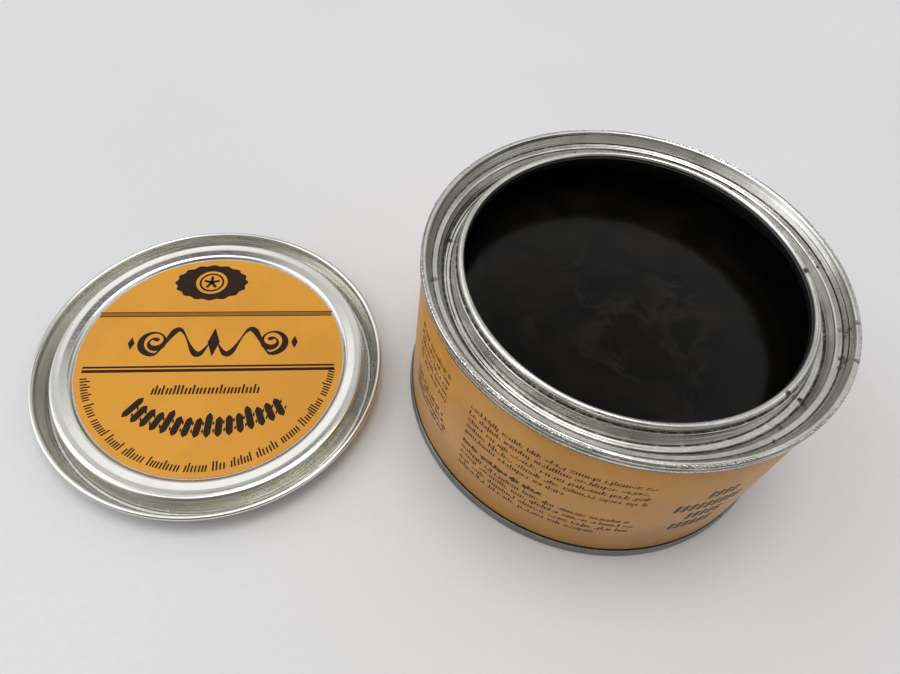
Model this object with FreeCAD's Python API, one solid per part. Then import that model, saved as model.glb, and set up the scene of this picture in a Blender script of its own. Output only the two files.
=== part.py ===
import FreeCAD, Part
import math
import os

# A press-lid tin of dark wax polish, open, with its lid lying beside it.
# Lengths are millimetres. The can stands on z = 0 with its axis on +Z and
# its lid lies label up on the same table, towards -X.
#
# Every metal piece is one sheet of tinplate, drawn as a centreline in the
# (radius, height) half plane with a bend radius at each corner, given the
# sheet's thickness and spun about the can's axis.

# ---- sheet and overall sizes ------------------------------------------------
TIN = 0.24                  # thickness of the tinplate
CAN_HEIGHT = 52.0           # table to the top of the upper seam
SEAM_OUTER_R = 51.0         # outside of both double seams
LID_HEIGHT = 6.7            # foot of the lid's channel to the top of its curl
LID_CENTRE_X = -107.6       # where the lid lies on the table

# ---- double seams: five layers of sheet, outside to inside -------------------
SEAM_HEIGHT = 3.0
LAYER_GAP = 0.02            # air between neighbouring layers
LAYER = TIN + LAYER_GAP
SEAM_PANEL_R = SEAM_OUTER_R - TIN / 2       # outermost layer, part of the end
BODY_HOOK_R = SEAM_PANEL_R - LAYER          # turned-down flange of the body
COVER_HOOK_R = BODY_HOOK_R - LAYER          # turned-up edge of the end
BODY_WALL_R = COVER_HOOK_R - LAYER          # centreline of the body wall
CHUCK_WALL_R = BODY_WALL_R - LAYER          # inner layer, part of the end
HOOK_BEND = LAYER                           # both hooks are half turns
SEAM_TOP_BEND = 0.40
SEAM_SKIN = TIN / 2                         # seam face to the end's centreline
HOOK_TURN = SEAM_HEIGHT - TIN / 2           # depth of the end's half turn
BODY_HOOK_TURN = 0.62                       # depth of the body's half turn
BODY_HOOK_END = 2.40
COVER_HOOK_END = 1.05

# ---- body -------------------------------------------------------------------
BODY_OUTER_R = BODY_WALL_R + TIN / 2
BODY_INNER_R = BODY_WALL_R - TIN / 2
WELD_WIDTH = 1.4
WELD_RISE = 0.12
WELD_MARGIN = 6.5           # the weld bead stops short of both seams
WELD_ANGLE = 100.0          # degrees round from +X, at the back

# ---- top ring: heights are depths below the seam top ------------------------
LEDGE_OUTER_R = 48.25
LEDGE_OUTER_DEPTH = 3.00
LEDGE_INNER_R = 46.95
LEDGE_INNER_DEPTH = 3.25
GUTTER_OUTER_R = 45.45
GUTTER_INNER_R = 43.50
GUTTER_DEPTH = 5.70
SHOULDER_R = 42.85
SHOULDER_DEPTH = 2.20
THROAT_R = 40.70            # clear radius of the mouth
CURL_R = 0.85               # outside radius of the rolled bead
CURL_BEND = CURL_R - TIN / 2
CURL_TOP_DEPTH = 0.25
THROAT_DEPTH = 3.40         # lower end of the straight throat wall
THROAT_HEM_R = 41.60

# ---- bottom end: heights above the table ------------------------------------
SINK_OUTER_R = 49.35
SINK_INNER_R = 48.30
SINK_HEIGHT = 4.40
PANEL_OUTER_R = 47.70
PANEL_HEIGHT = 3.60
BEAD_OUTER_R = 36.00
BEAD_INNER_R = 35.00
CENTRE_HEIGHT = 4.20

# ---- lid: heights above the table when it lies label up ---------------------
LID_PANEL_DROP = 1.10       # label panel below the shoulder ring
LID_STEP_INNER_R = 37.35
LID_STEP_OUTER_R = 38.15
LID_SHOULDER_R = 42.45
LID_SHOULDER_TOP = 6.60
LID_CHANNEL_INNER_R = 44.00
LID_CHANNEL_OUTER_R = 45.00
LID_CURL_OUTER_R = 48.15
LID_CURL_R = 0.70
LID_CURL_BEND = LID_CURL_R - TIN / 2
LID_WALL_HEIGHT = 4.60      # where the channel's outer wall turns upright
LID_CURL_TUCK = 0.10        # how far the rolled edge passes its own centre

# ---- seam compound, labels and wax ------------------------------------------
COMPOUND_INNER_R = 50.22
COMPOUND_OUTER_R = 50.46
LABEL_THICKNESS = 0.15
LABEL_MARGIN = 3.60
LABEL_OVERLAP = 7.0         # glued lap of the body label
LID_LABEL_R = 36.90
LID_LABEL_THICKNESS = 0.12
WAX_BELOW_RIM = 12.60
WAX_GAP = 0.03              # set wax stands this far off the body wall
MENISCUS_WIDTH = 1.20
MENISCUS_RISE = 0.40
WAX_SKIRT_R = 48.60
WAX_SKIRT_HEIGHT = 4.60     # wax bridges the chuck wall above this height

FULL_TURN = 360.0
TINY = 1e-6


def plane_point(radius, height):
    """Point of the (radius, height) half plane in space."""
    return FreeCAD.Vector(radius, 0.0, height)


def unit(start, end):
    """Unit vector from one (r, z) pair to another."""
    dr = end[0] - start[0]
    dz = end[1] - start[1]
    length = math.hypot(dr, dz)
    return dr / length, dz / length


def shifted(point, direction, distance):
    """(r, z) pair moved a distance along a direction."""
    return point[0] + direction[0] * distance, point[1] + direction[1] * distance


def corner_arc(before, corner, after, bend, side):
    """Start, middle and end of a bend, offset to the left of the path."""
    into = unit(before, corner)
    out_of = unit(corner, after)
    turn = into[0] * out_of[1] - into[1] * out_of[0]
    along = into[0] * out_of[0] + into[1] * out_of[1]
    angle = math.atan2(abs(turn), along)
    tangent = bend * math.tan(angle / 2.0)
    left = 1.0 if turn > 0.0 else -1.0
    start = shifted(corner, into, -tangent)
    end = shifted(corner, out_of, tangent)
    centre = shifted(start, (-into[1], into[0]), left * bend)
    radius = bend - left * side
    to_corner = unit(centre, corner)
    return (
        shifted(start, (-into[1], into[0]), side),
        shifted(centre, to_corner, radius),
        shifted(end, (-out_of[1], out_of[0]), side),
    )


def offset_edges(path, side):
    """Edges of a bent path, offset to its left by side (right if negative)."""
    points = [(r, z) for r, z, bend in path]
    first_way = unit(points[0], points[1])
    last_way = unit(points[-2], points[-1])
    here = shifted(points[0], (-first_way[1], first_way[0]), side)
    edges = []
    for index in range(1, len(path) - 1):
        before, corner, after = points[index - 1:index + 2]
        start, middle, end = corner_arc(before, corner, after, path[index][2], side)
        if math.dist(here, start) > TINY:
            edges.append(Part.LineSegment(plane_point(*here), plane_point(*start)).toShape())
        arc = Part.Arc(plane_point(*start), plane_point(*middle), plane_point(*end))
        edges.append(arc.toShape())
        here = end
    last = shifted(points[-1], (-last_way[1], last_way[0]), side)
    edges.append(Part.LineSegment(plane_point(*here), plane_point(*last)).toShape())
    return edges


def spin(wire_edges):
    """Solid of revolution about the can's axis from a closed set of edges."""
    wire = Part.Wire(Part.__sortEdges__(wire_edges))
    turned = Part.Face(wire).revolve(
        FreeCAD.Vector(0, 0, 0), FreeCAD.Vector(0, 0, 1), FULL_TURN
    )
    return turned.Solids[0] if turned.Solids else Part.Solid(turned)


def sheet(path):
    """One sheet of tinplate following a centreline of (r, z, bend) corners."""
    left = offset_edges(path, TIN / 2)
    right = offset_edges(path, -TIN / 2)
    caps = []
    for row_left, row_right, vertex in ((left[0], right[0], 0), (left[-1], right[-1], -1)):
        a = row_left.Vertexes[vertex].Point
        b = row_right.Vertexes[vertex].Point
        caps.append(Part.LineSegment(a, b).toShape())
    return spin(left + right + caps)


def ring(inner_r, outer_r, low, high):
    """Plain ring of rectangular section, or a disc when inner_r is zero."""
    outer = Part.makeCylinder(outer_r, high - low, plane_point(0, low))
    if inner_r <= 0.0:
        return outer
    return outer.cut(Part.makeCylinder(inner_r, high - low, plane_point(0, low)))


def arc_block(inner_r, outer_r, low, high, angle, width):
    """Piece of a ring, width long round its outside, centred on an angle."""
    spread = math.degrees(width / outer_r)
    corners = [
        plane_point(inner_r, low),
        plane_point(outer_r, low),
        plane_point(outer_r, high),
        plane_point(inner_r, high),
        plane_point(inner_r, low),
    ]
    face = Part.Face(Part.makePolygon(corners))
    block = face.revolve(FreeCAD.Vector(0, 0, 0), FreeCAD.Vector(0, 0, 1), spread)
    block.rotate(
        FreeCAD.Vector(0, 0, 0), FreeCAD.Vector(0, 0, 1), angle - spread / 2
    )
    return block


def seam_path(height_at):
    """The layers of a double seam that belong to an end, hook first."""
    return [
        (COVER_HOOK_R, height_at(COVER_HOOK_END), 0.0),
        (COVER_HOOK_R, height_at(HOOK_TURN), HOOK_BEND),
        (SEAM_PANEL_R, height_at(HOOK_TURN), HOOK_BEND),
        (SEAM_PANEL_R, height_at(SEAM_SKIN), SEAM_TOP_BEND),
        (CHUCK_WALL_R, height_at(SEAM_SKIN), SEAM_TOP_BEND),
    ]


def below_rim(depth):
    """Height of a point measured down from the top of the upper seam."""
    return CAN_HEIGHT - depth


def above_table(height):
    """Height of a point measured up from the foot of the lower seam."""
    return height


def make_can_body():
    """Body cylinder: both flanges hooked into the seams, one weld inside."""
    top_turn = below_rim(BODY_HOOK_TURN)
    tube = sheet([
        (BODY_HOOK_R, BODY_HOOK_END, 0.0),
        (BODY_HOOK_R, BODY_HOOK_TURN, HOOK_BEND),
        (BODY_WALL_R, BODY_HOOK_TURN, HOOK_BEND),
        (BODY_WALL_R, top_turn, HOOK_BEND),
        (BODY_HOOK_R, top_turn, HOOK_BEND),
        (BODY_HOOK_R, below_rim(BODY_HOOK_END), 0.0),
    ])
    weld = arc_block(
        BODY_INNER_R - WELD_RISE, BODY_WALL_R, WELD_MARGIN, below_rim(WELD_MARGIN),
        WELD_ANGLE, WELD_WIDTH,
    )
    return tube.fuse(weld).removeSplitter().Solids[0]


def make_top_ring():
    """Upper ring: seam, ledge, gutter, shoulder and the rolled throat."""
    bead_outer_r = THROAT_R + 2 * CURL_R - TIN / 2
    bead_inner_r = THROAT_R + TIN / 2
    bead_top = below_rim(CURL_TOP_DEPTH + TIN / 2)
    path = seam_path(below_rim) + [
        (LEDGE_OUTER_R, below_rim(LEDGE_OUTER_DEPTH), 0.45),
        (LEDGE_INNER_R, below_rim(LEDGE_INNER_DEPTH), 0.45),
        (GUTTER_OUTER_R, below_rim(GUTTER_DEPTH), 0.50),
        (GUTTER_INNER_R, below_rim(GUTTER_DEPTH), 0.45),
        (SHOULDER_R, below_rim(SHOULDER_DEPTH), 0.30),
        (bead_outer_r, below_rim(SHOULDER_DEPTH), 0.20),
        (bead_outer_r, bead_top, CURL_BEND),
        (bead_inner_r, bead_top, CURL_BEND),
        (bead_inner_r, below_rim(THROAT_DEPTH), 0.30),
        (THROAT_HEM_R, below_rim(THROAT_DEPTH), 0.0),
    ]
    return sheet(path)


def make_bottom_end():
    """Lower end: seam, countersink, flat panel and a raised centre."""
    path = seam_path(above_table) + [
        (SINK_OUTER_R, SINK_HEIGHT, 0.45),
        (SINK_INNER_R, SINK_HEIGHT, 0.45),
        (PANEL_OUTER_R, PANEL_HEIGHT, 0.40),
        (BEAD_OUTER_R, PANEL_HEIGHT, 0.80),
        (BEAD_INNER_R, CENTRE_HEIGHT, 0.80),
        (0.0, CENTRE_HEIGHT, 0.0),
    ]
    return sheet(path)


def make_lid():
    """Press lid: label panel, shoulder ring, channel and outer curl."""
    shoulder = LID_SHOULDER_TOP - TIN / 2
    panel = shoulder - LID_PANEL_DROP
    foot = TIN / 2
    curl_top = LID_HEIGHT - TIN / 2
    curl_outer_r = LID_CURL_OUTER_R - TIN / 2
    curl_centre_r = curl_outer_r - LID_CURL_BEND
    curl_inner_r = curl_centre_r - LID_CURL_BEND
    curl_bottom = curl_top - 2 * LID_CURL_BEND
    lid = sheet([
        (0.0, panel, 0.0),
        (LID_STEP_INNER_R, panel, 0.40),
        (LID_STEP_OUTER_R, shoulder, 0.40),
        (LID_SHOULDER_R, shoulder, 0.90),
        (LID_CHANNEL_INNER_R, foot, 0.35),
        (LID_CHANNEL_OUTER_R, foot, 0.35),
        (curl_inner_r, LID_WALL_HEIGHT, 0.60),
        (curl_inner_r, curl_top, LID_CURL_BEND),
        (curl_outer_r, curl_top, LID_CURL_BEND),
        (curl_outer_r, curl_bottom, LID_CURL_BEND),
        (curl_centre_r - LID_CURL_TUCK, curl_bottom, 0.0),
    ])
    lid.translate(FreeCAD.Vector(LID_CENTRE_X, 0, 0))
    return lid


def make_lid_label():
    """Round paper label on the lid's recessed panel."""
    panel_top = LID_SHOULDER_TOP - LID_PANEL_DROP
    disc = ring(0.0, LID_LABEL_R, panel_top, panel_top + LID_LABEL_THICKNESS)
    disc.translate(FreeCAD.Vector(LID_CENTRE_X, 0, 0))
    return disc


def make_body_label():
    """Paper label round the body, lapped over itself along the weld."""
    low = LABEL_MARGIN
    high = below_rim(LABEL_MARGIN)
    outer_r = BODY_OUTER_R + LABEL_THICKNESS
    lap = arc_block(
        BODY_OUTER_R + LABEL_THICKNESS / 2, outer_r + LABEL_THICKNESS, low, high,
        WELD_ANGLE, LABEL_OVERLAP,
    )
    wrap = ring(BODY_OUTER_R, outer_r, low, high)
    return wrap.fuse(lap).removeSplitter().Solids[0]


def make_compound(height_at):
    """Sealing compound between the crown of a seam and the body hook."""
    crown = height_at(TIN)
    hook = height_at(BODY_HOOK_TURN - TIN / 2)
    return ring(COMPOUND_INNER_R, COMPOUND_OUTER_R, min(crown, hook), max(crown, hook))


def make_wax(bottom_end, can_body):
    """Set wax, moulded to the bottom end, with a low meniscus at the wall."""
    wall_r = BODY_INNER_R - WAX_GAP
    level = below_rim(WAX_BELOW_RIM)
    flat_r = wall_r - MENISCUS_WIDTH
    climb = Part.Arc(
        plane_point(flat_r, level),
        plane_point(flat_r + 0.7 * MENISCUS_WIDTH, level + 0.3 * MENISCUS_RISE),
        plane_point(wall_r, level + MENISCUS_RISE),
    )
    below = [
        plane_point(wall_r, level + MENISCUS_RISE),
        plane_point(wall_r, WAX_SKIRT_HEIGHT),
        plane_point(WAX_SKIRT_R, WAX_SKIRT_HEIGHT),
        plane_point(WAX_SKIRT_R, SEAM_HEIGHT),
        plane_point(0.0, SEAM_HEIGHT),
        plane_point(0.0, level),
        plane_point(flat_r, level),
    ]
    blank = spin([climb.toShape()] + Part.makePolygon(below).Edges)
    poured = blank.cut(bottom_end).cut(can_body)
    return max(poured.Solids, key=lambda solid: solid.Volume)


def main():
    can_body = make_can_body()
    bottom_end = make_bottom_end()
    pieces = {
        "can_body": can_body,
        "top_ring": make_top_ring(),
        "bottom_end": bottom_end,
        "top_seam_compound": make_compound(below_rim),
        "bottom_seam_compound": make_compound(above_table),
        "body_label": make_body_label(),
        "wax_fill": make_wax(bottom_end, can_body),
        "lid": make_lid(),
        "lid_label": make_lid_label(),
    }
    os.makedirs("parts", exist_ok=True)
    for name, shape in pieces.items():
        shape.exportStep("parts/" + name + ".step")


main()
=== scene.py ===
import bmesh
import bpy
import math
import random
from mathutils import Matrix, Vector, noise


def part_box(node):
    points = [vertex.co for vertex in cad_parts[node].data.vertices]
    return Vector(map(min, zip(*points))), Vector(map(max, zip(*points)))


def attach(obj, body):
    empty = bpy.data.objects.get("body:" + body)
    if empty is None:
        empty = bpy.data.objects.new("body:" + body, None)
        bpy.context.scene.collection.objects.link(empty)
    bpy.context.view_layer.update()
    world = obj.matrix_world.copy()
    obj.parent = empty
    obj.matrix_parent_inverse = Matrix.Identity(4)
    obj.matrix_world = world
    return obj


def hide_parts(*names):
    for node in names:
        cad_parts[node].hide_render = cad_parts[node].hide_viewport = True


# An open press-lid tin of dark wax polish with its lid beside it, on a pale
# table. Drawing helpers take millimetres and write metres, in the CAD frame.
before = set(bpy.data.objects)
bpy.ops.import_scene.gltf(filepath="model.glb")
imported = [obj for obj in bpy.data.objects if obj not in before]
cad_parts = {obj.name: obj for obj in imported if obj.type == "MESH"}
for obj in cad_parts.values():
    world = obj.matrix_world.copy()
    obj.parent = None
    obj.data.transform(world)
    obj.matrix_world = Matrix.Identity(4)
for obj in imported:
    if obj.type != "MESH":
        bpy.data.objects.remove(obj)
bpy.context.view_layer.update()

MM = 0.001
SEED = 4217
SEGMENTS = 256              # steps round a spun piece
BEND_STEP = math.radians(9.0)
SUPPORT = 0.05              # extra ring this far from each end of a straight
STRAIGHT_STEP = 2.2         # longest straight between rings
CREASE = math.radians(38.0)


def box_mm(node):
    low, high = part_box(node)
    return low / MM, high / MM


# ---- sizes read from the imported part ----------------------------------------
RING_HIGH = box_mm("top_ring")[1]
LID_LOW, LID_HIGH = box_mm("lid")
PAPER_LOW, PAPER_HIGH = box_mm("body_label")
DISC_LOW, DISC_HIGH = box_mm("lid_label")
WAX_HIGH = box_mm("wax_fill")[1]
RIM_TOP = RING_HIGH.z
SEAM_R = RING_HIGH.y
LID_X = (LID_LOW.x + LID_HIGH.x) / 2
LID_R = (LID_HIGH.x - LID_LOW.x) / 2
LID_TOP = LID_HIGH.z
DISC_R = (DISC_HIGH.x - DISC_LOW.x) / 2
DISC_TOP = DISC_HIGH.z
LAP_ANGLE = math.radians(100.0)     # where the body label laps over itself

# ---- tinplate sheets: the CAD's own bend lines ------------------------------
# The lid's ring is a softer curve here, and the seams' crowns are rounder.
TIN = 0.24
SKIN = TIN / 2
LAYER = TIN + 0.02
PANEL_LINE = SEAM_R - SKIN
BODY_HOOK = PANEL_LINE - LAYER
COVER_HOOK = BODY_HOOK - LAYER
WALL_LINE = COVER_HOOK - LAYER
CHUCK_LINE = WALL_LINE - LAYER
WALL_OUT = WALL_LINE + SKIN


def end_seam(at):
    """Layers of a double seam that belong to an end, hook first."""
    return [
        (COVER_HOOK, at(1.05), 0.0),
        (COVER_HOOK, at(2.88), 0.26),
        (PANEL_LINE, at(2.88), 0.26),
        (PANEL_LINE, at(SKIN), 0.51),
        (CHUCK_LINE, at(SKIN), 0.51),
    ]


def below(depth):
    return RIM_TOP - depth


def above(height):
    return height


TOP_RING = end_seam(below) + [
    (48.25, below(3.00), 0.45),
    (46.95, below(3.25), 0.45),
    (45.45, below(5.70), 0.50),
    (43.50, below(5.70), 0.45),
    (42.85, below(2.20), 0.30),
    (42.28, below(2.20), 0.20),
    (42.28, below(0.37), 0.73),
    (40.82, below(0.37), 0.73),
    (40.82, below(3.40), 0.30),
    (41.60, below(3.40), 0.0),
]
BOTTOM_END = end_seam(above) + [
    (49.35, 4.40, 0.45),
    (48.30, 4.40, 0.45),
    (47.70, 3.60, 0.40),
    (36.00, 3.60, 0.80),
    (35.00, 4.20, 0.80),
    (0.0, 4.20, 0.0),
]
CAN_WALL = [
    (BODY_HOOK, 2.40, 0.0),
    (BODY_HOOK, 0.62, 0.26),
    (WALL_LINE, 0.62, 0.26),
    (WALL_LINE, below(0.62), 0.26),
    (BODY_HOOK, below(0.62), 0.26),
    (BODY_HOOK, below(2.40), 0.0),
]
LID_SHOULDER = 6.60 - SKIN
LID_PANEL = LID_SHOULDER - 1.10
LID_CURL_TOP = LID_TOP - SKIN
LID_CURL_OUT = LID_R - SKIN
LID_SHEET = [
    (0.0, LID_PANEL, 0.0),
    (37.35, LID_PANEL, 0.40),
    (37.95, LID_SHOULDER - 0.52, 0.90),
    (38.50, LID_SHOULDER - 0.34, 1.60),
    (40.40, LID_SHOULDER - 0.05, 4.0),
    (41.50, LID_SHOULDER, 5.0),
    (42.85, LID_SHOULDER - 0.08, 0.75),
    (44.00, SKIN, 0.35),
    (45.00, SKIN, 0.35),
    (LID_CURL_OUT - 1.16, 4.60, 0.60),
    (LID_CURL_OUT - 1.16, LID_CURL_TOP, 0.58),
    (LID_CURL_OUT, LID_CURL_TOP, 0.58),
    (LID_CURL_OUT, LID_CURL_TOP - 1.16, 0.58),
    (LID_CURL_OUT - 0.68, LID_CURL_TOP - 1.16, 0.0),
]


# ---- bent sheet outlines ----------------------------------------------------
def run(a, b):
    """Points of a straight, its first end left out, with support rings."""
    length = math.dist(a, b)
    if length < 4 * SUPPORT:
        return [b]
    marks = [SUPPORT]
    inner = length - 2 * SUPPORT
    steps = max(1, math.ceil(inner / STRAIGHT_STEP))
    marks += [SUPPORT + inner * k / steps for k in range(1, steps + 1)]
    points = [
        (a[0] + (b[0] - a[0]) * m / length, a[1] + (b[1] - a[1]) * m / length)
        for m in marks
    ]
    return points + [b]


def offset_line(path, side):
    """Points of a centreline of (r, z, bend), offset to its left by side."""
    flat = [Vector((r, z)) for r, z, bend in path]
    ways = [(b - a).normalized() for a, b in zip(flat, flat[1:])]
    left = [Vector((-w.y, w.x)) for w in ways]
    points = [tuple(flat[0] + left[0] * side)]
    for k in range(1, len(flat) - 1):
        cross = ways[k - 1].cross(ways[k])
        turn = math.atan2(cross, ways[k - 1].dot(ways[k]))
        hand = math.copysign(1.0, turn)
        bend = path[k][2]
        start = flat[k] - ways[k - 1] * bend * math.tan(abs(turn) / 2)
        centre = start + left[k - 1] * hand * bend
        spoke = -left[k - 1] * hand
        radius = bend - hand * side
        steps = max(3, math.ceil(abs(turn) / BEND_STEP))
        for n in range(steps + 1):
            a = turn * n / steps
            arm = Vector((
                spoke.x * math.cos(a) - spoke.y * math.sin(a),
                spoke.x * math.sin(a) + spoke.y * math.cos(a),
            ))
            point = tuple(centre + arm * radius)
            if n:
                points.append(point)
            else:
                points += run(points[-1], point)
    points += run(points[-1], tuple(flat[-1] + left[-1] * side))
    return points


def sheet_outline(path):
    return offset_line(path, SKIN) + offset_line(path, -SKIN)[::-1]


# ---- meshes -----------------------------------------------------------------
def finish_mesh(name, mesh_data, material, body, stands_for=(), at=(0.0, 0.0, 0.0),
                second=None):
    """Turns a bmesh into a smooth object that rides on a CAD body.

    stands_for names the CAD nodes it replaces; at is its origin in millimetres.
    """
    bmesh.ops.recalc_face_normals(mesh_data, faces=mesh_data.faces)
    mesh = bpy.data.meshes.new(name)
    mesh_data.to_mesh(mesh)
    mesh_data.free()
    mesh.shade_smooth()
    mesh.set_sharp_from_angle(angle=CREASE)
    obj = bpy.data.objects.new(name, mesh)
    bpy.context.scene.collection.objects.link(obj)
    obj.location = Vector(at) * MM
    obj.data.materials.append(material)
    if second:
        obj.data.materials.append(second)
    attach(obj, body)
    if stands_for:
        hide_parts(*stands_for)
    return obj


def spin(outline, shape=None, segments=SEGMENTS, second_until=0):
    """Closed surface of revolution from an (r, z) outline in millimetres.

    Bands before second_until in the outline take the second material.
    """
    data = bmesh.new()
    rings = []
    for r, z in outline:
        steps = 1 if r < 1e-6 else segments
        ring = []
        for k in range(steps):
            a = math.tau * k / segments
            p = Vector((r * math.cos(a), r * math.sin(a), z))
            if shape:
                p = shape(p)
            ring.append(data.verts.new(p * MM))
        rings.append(ring)
    for band, (a, b) in enumerate(zip(rings, rings[1:] + rings[:1])):
        if len(a) == 1 and len(b) == 1:
            continue
        for k in range(segments):
            n = (k + 1) % segments
            corners = [a[k % len(a)], a[n % len(a)], b[n % len(b)], b[k % len(b)]]
            face = data.faces.new(list(dict.fromkeys(corners)))
            face.material_index = 1 if band < second_until else 0
    return data


class Marks:
    """Thin closed ribbons of ink laid on a surface given by place(u, v, h)."""

    def __init__(self, place, lift=0.004, depth=0.022):
        self.place = place
        self.lift = lift
        self.depth = depth
        self.data = bmesh.new()

    def ribbon(self, left, right, closed=False):
        """Band between two rows of (u, v) points."""
        rows = []
        for a, b in zip(left, right):
            rows.append([
                self.data.verts.new(self.place(u, v, h))
                for (u, v), h in (
                    (a, self.lift + self.depth), (b, self.lift + self.depth),
                    (b, self.lift), (a, self.lift),
                )
            ])
        pairs = list(zip(rows, rows[1:]))
        if closed:
            pairs.append((rows[-1], rows[0]))
        for a, b in pairs:
            for k in range(4):
                n = (k + 1) % 4
                self.data.faces.new((a[k], a[n], b[n], b[k]))
        if not closed:
            self.data.faces.new(rows[0])
            self.data.faces.new(rows[-1][::-1])

    def stroke(self, points, widths):
        """Pen stroke along points with a width at each."""
        left, right = [], []
        for k, point in enumerate(points):
            before = points[max(0, k - 1)]
            after = points[min(len(points) - 1, k + 1)]
            way = Vector((after[0] - before[0], after[1] - before[1])).normalized()
            half = widths[k] / 2
            left.append((point[0] - way.y * half, point[1] + way.x * half))
            right.append((point[0] + way.y * half, point[1] - way.x * half))
        self.ribbon(left, right)

    def bar(self, a, b, width, steps=2, ends=0.55):
        """Straight mark with softened ends."""
        length = math.dist(a, b)
        cap = min(0.45 * length, width * 0.5)
        marks = [0.0, cap * 0.4, cap]
        inner = length - 2 * cap
        marks += [cap + inner * k / steps for k in range(1, steps + 1)]
        marks += [length - cap * 0.4, length]
        points, widths = [], []
        for m in marks:
            t = m / length
            points.append((a[0] + (b[0] - a[0]) * t, a[1] + (b[1] - a[1]) * t))
            edge = min(m, length - m)
            share = min(1.0, edge / cap) if cap > 0 else 1.0
            widths.append(width * (ends + (1 - ends) * math.sqrt(share)))
        self.stroke(points, widths)

    def make(self, name, material, body):
        return finish_mesh(name, self.data, material, body)


# ---- shader trees -----------------------------------------------------------
class Tree:
    """Short hand for wiring a procedural material."""

    def __init__(self, name):
        self.material = bpy.data.materials.new(name)
        self.material.use_nodes = True
        self.nodes = self.material.node_tree.nodes
        self.links = self.material.node_tree.links
        self.nodes.clear()
        self.output = self.nodes.new("ShaderNodeOutputMaterial")
        self.shader = self.nodes.new("ShaderNodeBsdfPrincipled")
        self.links.new(self.shader.outputs[0], self.output.inputs["Surface"])

    def feed(self, socket, value):
        if isinstance(value, bpy.types.NodeSocket):
            self.links.new(value, socket)
        elif value is not None:
            socket.default_value = value

    def math(self, kind, a, b=None, c=None, clamp=False):
        node = self.nodes.new("ShaderNodeMath")
        node.operation = kind
        node.use_clamp = clamp
        for socket, value in zip(node.inputs, (a, b, c)):
            self.feed(socket, value)
        return node.outputs[0]

    def place(self):
        """Point in the object's own space, in millimetres."""
        spot = self.nodes.new("ShaderNodeTexCoord").outputs["Object"]
        scaled = self.nodes.new("ShaderNodeVectorMath")
        scaled.operation = "SCALE"
        self.feed(scaled.inputs[0], spot)
        scaled.inputs["Scale"].default_value = 1.0 / MM
        return scaled.outputs[0]

    def axes(self, vector):
        parts = self.nodes.new("ShaderNodeSeparateXYZ")
        self.feed(parts.inputs[0], vector)
        return parts.outputs

    def vector(self, x, y, z):
        node = self.nodes.new("ShaderNodeCombineXYZ")
        for socket, value in zip(node.inputs, (x, y, z)):
            self.feed(socket, value)
        return node.outputs[0]

    def noise(self, vector, scale, detail=2.0, rough=0.5, warp=0.0, w=None):
        node = self.nodes.new("ShaderNodeTexNoise")
        if w is not None:
            node.noise_dimensions = "4D"
            self.feed(node.inputs["W"], w)
        self.feed(node.inputs["Vector"], vector)
        node.inputs["Scale"].default_value = scale
        node.inputs["Detail"].default_value = detail
        node.inputs["Roughness"].default_value = rough
        node.inputs["Distortion"].default_value = warp
        return node.outputs[0]

    def cells(self, vector, scale, feature="F1"):
        node = self.nodes.new("ShaderNodeTexVoronoi")
        node.feature = feature
        self.feed(node.inputs["Vector"], vector)
        node.inputs["Scale"].default_value = scale
        return node.outputs[0]

    def spread(self, value, low, high, out_low=0.0, out_high=1.0, smooth=True):
        node = self.nodes.new("ShaderNodeMapRange")
        node.interpolation_type = "SMOOTHSTEP" if smooth else "LINEAR"
        for socket, item in zip(node.inputs, (value, low, high, out_low, out_high)):
            self.feed(socket, item)
        return node.outputs[0]

    def mix(self, share, a, b, kind="MIX"):
        node = self.nodes.new("ShaderNodeMix")
        node.data_type = "RGBA"
        node.blend_type = kind
        self.feed(node.inputs[0], share)
        self.feed(node.inputs[6], a)
        self.feed(node.inputs[7], b)
        return node.outputs[2]

    def bump(self, height, strength, distance_mm, under=None):
        node = self.nodes.new("ShaderNodeBump")
        node.inputs["Strength"].default_value = strength
        node.inputs["Distance"].default_value = distance_mm * MM
        self.feed(node.inputs["Height"], height)
        if under is not None:
            self.feed(node.inputs["Normal"], under)
        return node.outputs[0]

    def set(self, **values):
        for name, value in values.items():
            self.feed(self.shader.inputs[name.replace("_", " ")], value)
        return self.material


def rgb(red, green, blue):
    """Linear colour from 8-bit display values."""
    out = []
    for value in (red, green, blue):
        c = value / 255
        out.append(c / 12.92 if c <= 0.04045 else ((c + 0.055) / 1.055) ** 2.4)
    return (*out, 1.0)


def round_the_axis(tree):
    """cos, sin, angle (cut at the back), radius and height, in mm."""
    spot = tree.place()
    x, y, z = tree.axes(spot)
    radius = tree.math("SQRT", tree.math(
        "ADD", tree.math("MULTIPLY", x, x), tree.math("MULTIPLY", y, y)
    ))
    safe = tree.math("MAXIMUM", radius, 0.01)
    cos = tree.math("DIVIDE", x, safe)
    sin = tree.math("DIVIDE", y, safe)
    angle = tree.math("ARCTAN2", x, tree.math("MULTIPLY", y, -1.0))
    return spot, cos, sin, angle, radius, z


def crease_shade_and_dirt(t, radius, z, creases, ragged):
    """Painted shade, with some grime, in the folds given as (radius, height, reach)."""
    fold_shade_and_dirt = None
    for r0, z0, reach in creases:
        out = t.math("SUBTRACT", radius, r0)
        up = t.math("SUBTRACT", z, z0)
        gap = t.math("SQRT", t.math(
            "ADD", t.math("MULTIPLY", out, out), t.math("MULTIPLY", up, up)
        ))
        here = t.spread(gap, reach * 0.35, reach, 1.0, 0.0)
        fold_shade_and_dirt = here if fold_shade_and_dirt is None else t.math("MAXIMUM", fold_shade_and_dirt, here)
    return t.math("MULTIPLY", fold_shade_and_dirt, ragged)


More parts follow.
